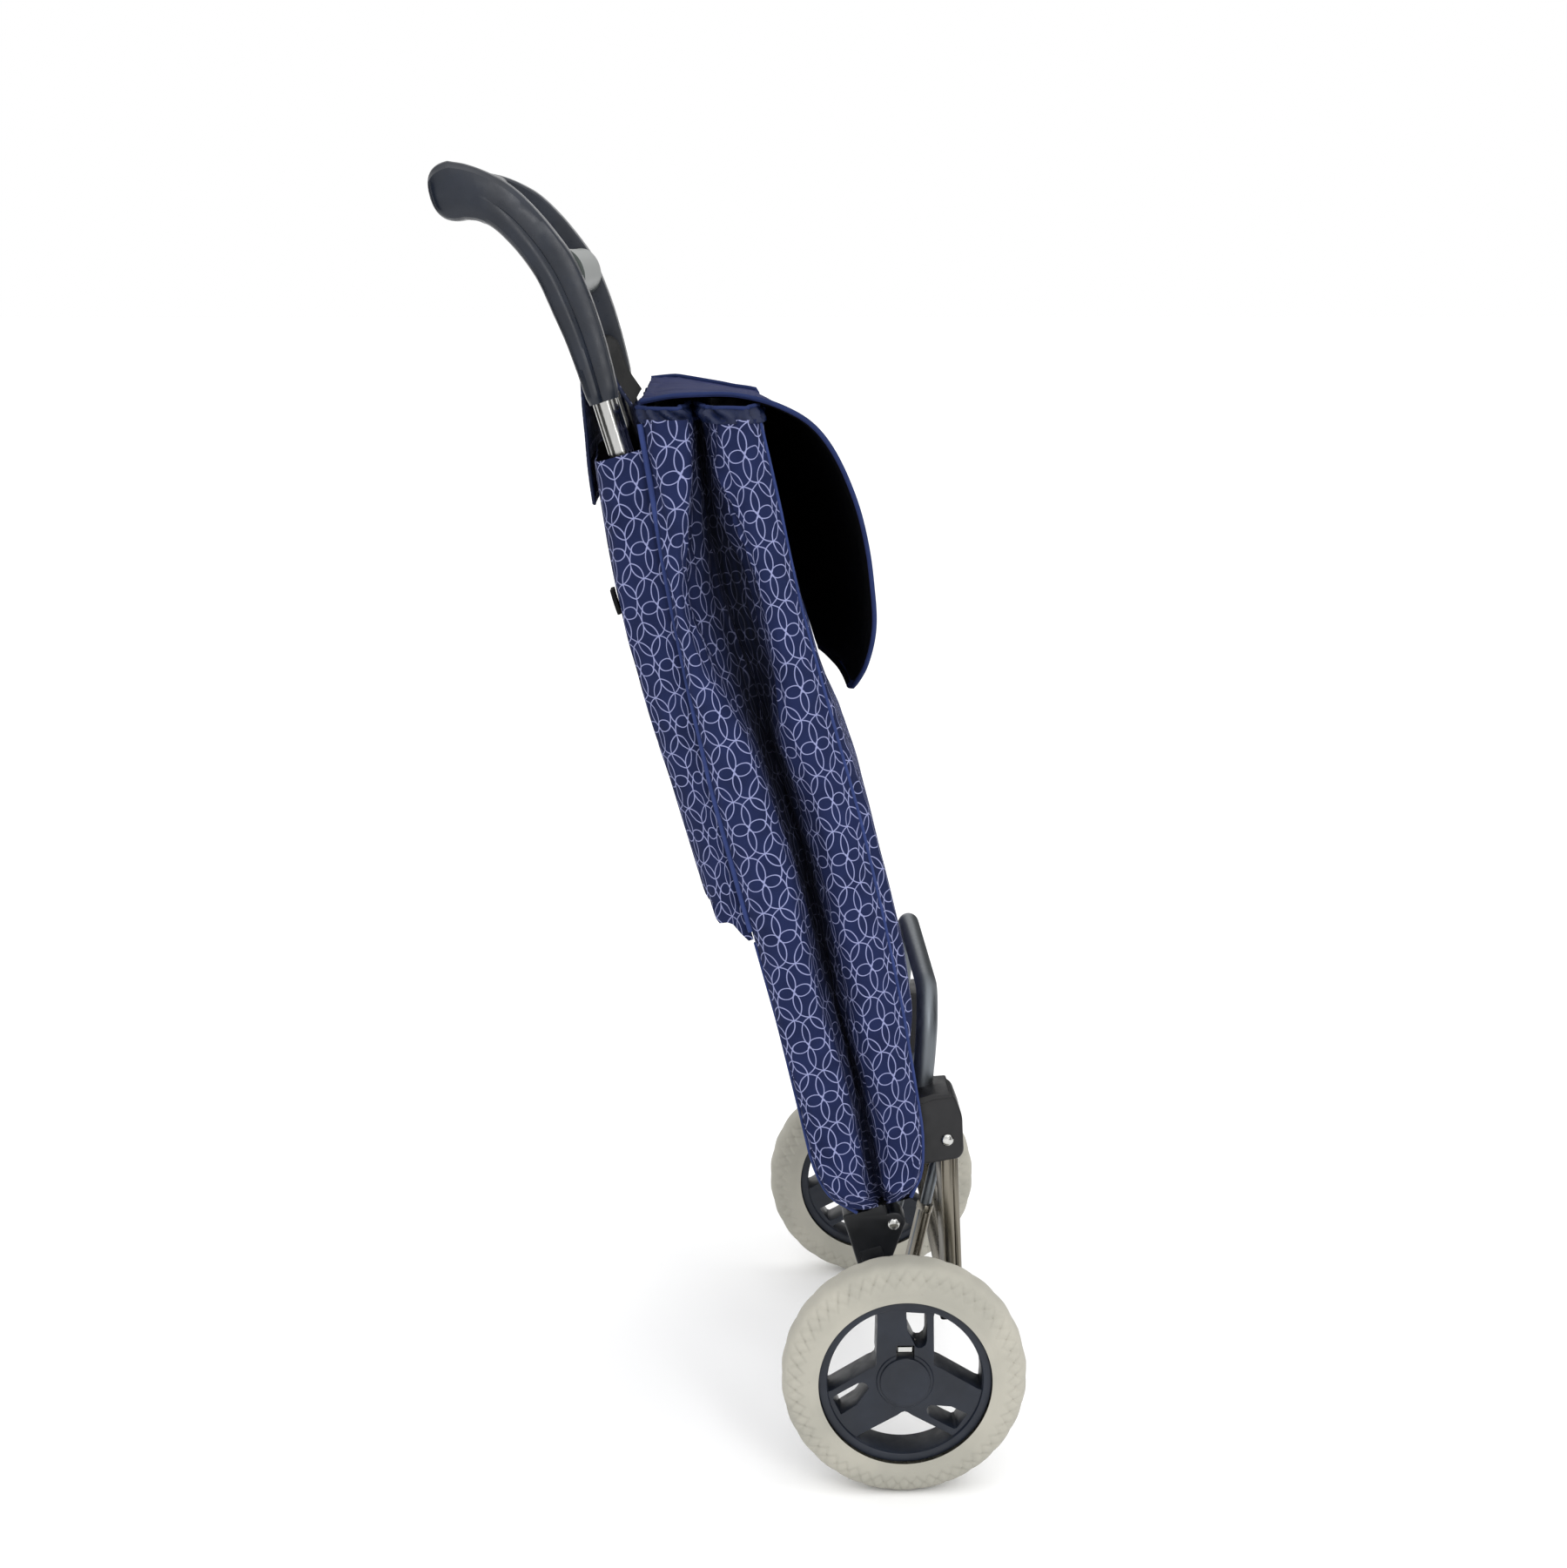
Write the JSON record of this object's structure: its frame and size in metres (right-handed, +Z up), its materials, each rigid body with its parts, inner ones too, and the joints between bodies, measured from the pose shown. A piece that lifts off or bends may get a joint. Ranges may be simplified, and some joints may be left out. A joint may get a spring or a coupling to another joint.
{
  "type": "shopping trolley",
  "caption": "Two-wheeled folding shopping trolley with a fabric bag, a lidded mouth, a curved twin-arm handle and a fold-down platform with front legs.",
  "frame": {"origin": "centre of the footprint at floor level, under the middle of the overall box", "axes": "+Z up, X along the axle with +X on the user's left, +Y towards the user, -Y the front of the bag"},
  "size_m": [0.426, 0.417, 0.9534],
  "materials": {
    "polished_tube": "polished",
    "satin_metal": "satin",
    "grey_metal": "satin",
    "bright_steel": "bright",
    "handle_plastic": "satin moulded",
    "grey_plastic": "semi gloss",
    "hub_plastic": "satin moulded",
    "bracket_plastic": "satin moulded",
    "tyre_foam": "matt foam",
    "printed_cloth": "woven with printed lines",
    "blue_cloth": "woven",
    "black_cloth": "woven"
  },
  "bodies": {
    "frame": {"axle": "bright_steel", "axle_spacer_left": "bracket_plastic", "axle_spacer_right": "bracket_plastic", "main_tube_left": "polished_tube", "main_tube_right": "polished_tube", "pivot_bracket_left": "bracket_plastic", "pivot_bracket_right": "bracket_plastic", "pivot_rivet_left": "bright_steel", "pivot_rivet_right": "bright_steel", "handle_arm_left": "handle_plastic", "handle_arm_right": "handle_plastic", "handle_grip": "handle_plastic", "cross_bow": "grey_plastic", "hanging_bar": "polished_tube", "bag_body": "printed_cloth", "bag_collar": "blue_cloth", "rear_sleeve": "printed_cloth", "sleeve_tab": "black_cloth", "hanging_panel": "black_cloth"},
    "wheel_left": {"tyre_left": "tyre_foam", "hub_left": "hub_plastic", "hub_cap_left": "hub_plastic"},
    "wheel_right": {"tyre_right": "tyre_foam", "hub_right": "hub_plastic", "hub_cap_right": "hub_plastic"},
    "clip_left": {"release_clip_left": "bright_steel"},
    "clip_right": {"release_clip_right": "bright_steel"},
    "platform": {"platform_loop": "grey_metal", "leg_bracket_left": "bracket_plastic", "leg_bracket_right": "bracket_plastic", "leg_rivet_left": "bright_steel", "leg_rivet_right": "bright_steel"},
    "front_legs": {"front_leg_left": "satin_metal", "front_leg_right": "satin_metal", "foot_pad_left": "bracket_plastic", "foot_pad_right": "bracket_plastic", "foot_bar": "satin_metal"},
    "strut_sleeves": {"strut_sleeve_left": "satin_metal", "strut_sleeve_right": "satin_metal"},
    "strut_rods": {"strut_rod_left": "grey_metal", "strut_rod_right": "grey_metal"},
    "flap": {"flap": "blue_cloth"}
  },
  "joints": [
    {"name": "wheel_left_spin", "type": "hinge", "parent": "frame", "child": "wheel_left", "pos_m": [0.1945, -0.11875, 0.09], "axis": [1, 0, 0], "continuous": true},
    {"name": "wheel_right_spin", "type": "hinge", "parent": "frame", "child": "wheel_right", "pos_m": [-0.1945, -0.11875, 0.09], "axis": [1, 0, 0], "continuous": true},
    {"name": "clip_left_press", "type": "slide", "parent": "wheel_left", "child": "clip_left", "axis": [0, 0, -1], "range_m": [0, 0.004], "stiffness_N_per_m": 400},
    {"name": "clip_right_press", "type": "slide", "parent": "wheel_right", "child": "clip_right", "axis": [0, 0, -1], "range_m": [0, 0.004], "stiffness_N_per_m": 400},
    {"name": "platform_fold", "type": "hinge", "parent": "frame", "child": "platform", "pos_m": [0, -0.11407, 0.18527], "axis": [1, 0, 0], "range_deg": [0, 63]},
    {"name": "front_legs_fold", "type": "hinge", "parent": "platform", "child": "front_legs", "pos_m": [0, -0.15335, 0.25062], "axis": [1, 0, 0], "range_deg": [-49, 1]},
    {"name": "strut_swing", "type": "hinge", "parent": "frame", "child": "strut_sleeves", "pos_m": [0, -0.11875, 0.09], "axis": [1, 0, 0], "range_deg": [-1, 28]},
    {"name": "strut_telescope", "type": "slide", "parent": "strut_sleeves", "child": "strut_rods", "axis": [0, -0.2106, 0.9776], "range_m": [-0.047, 0.001]},
    {"name": "flap_open", "type": "hinge", "parent": "frame", "child": "flap", "pos_m": [0, 0.06606, 0.79127], "axis": [-1, 0, 0], "range_deg": [0, 70]}
  ],
  "couplings": [
    {"joint": "front_legs_fold", "follows": "platform_fold", "ratio": -0.762},
    {"joint": "strut_swing", "follows": "platform_fold", "ratio": 0.4254},
    {"joint": "strut_telescope", "follows": "platform_fold", "m_per_rad": -0.04185}
  ]
}
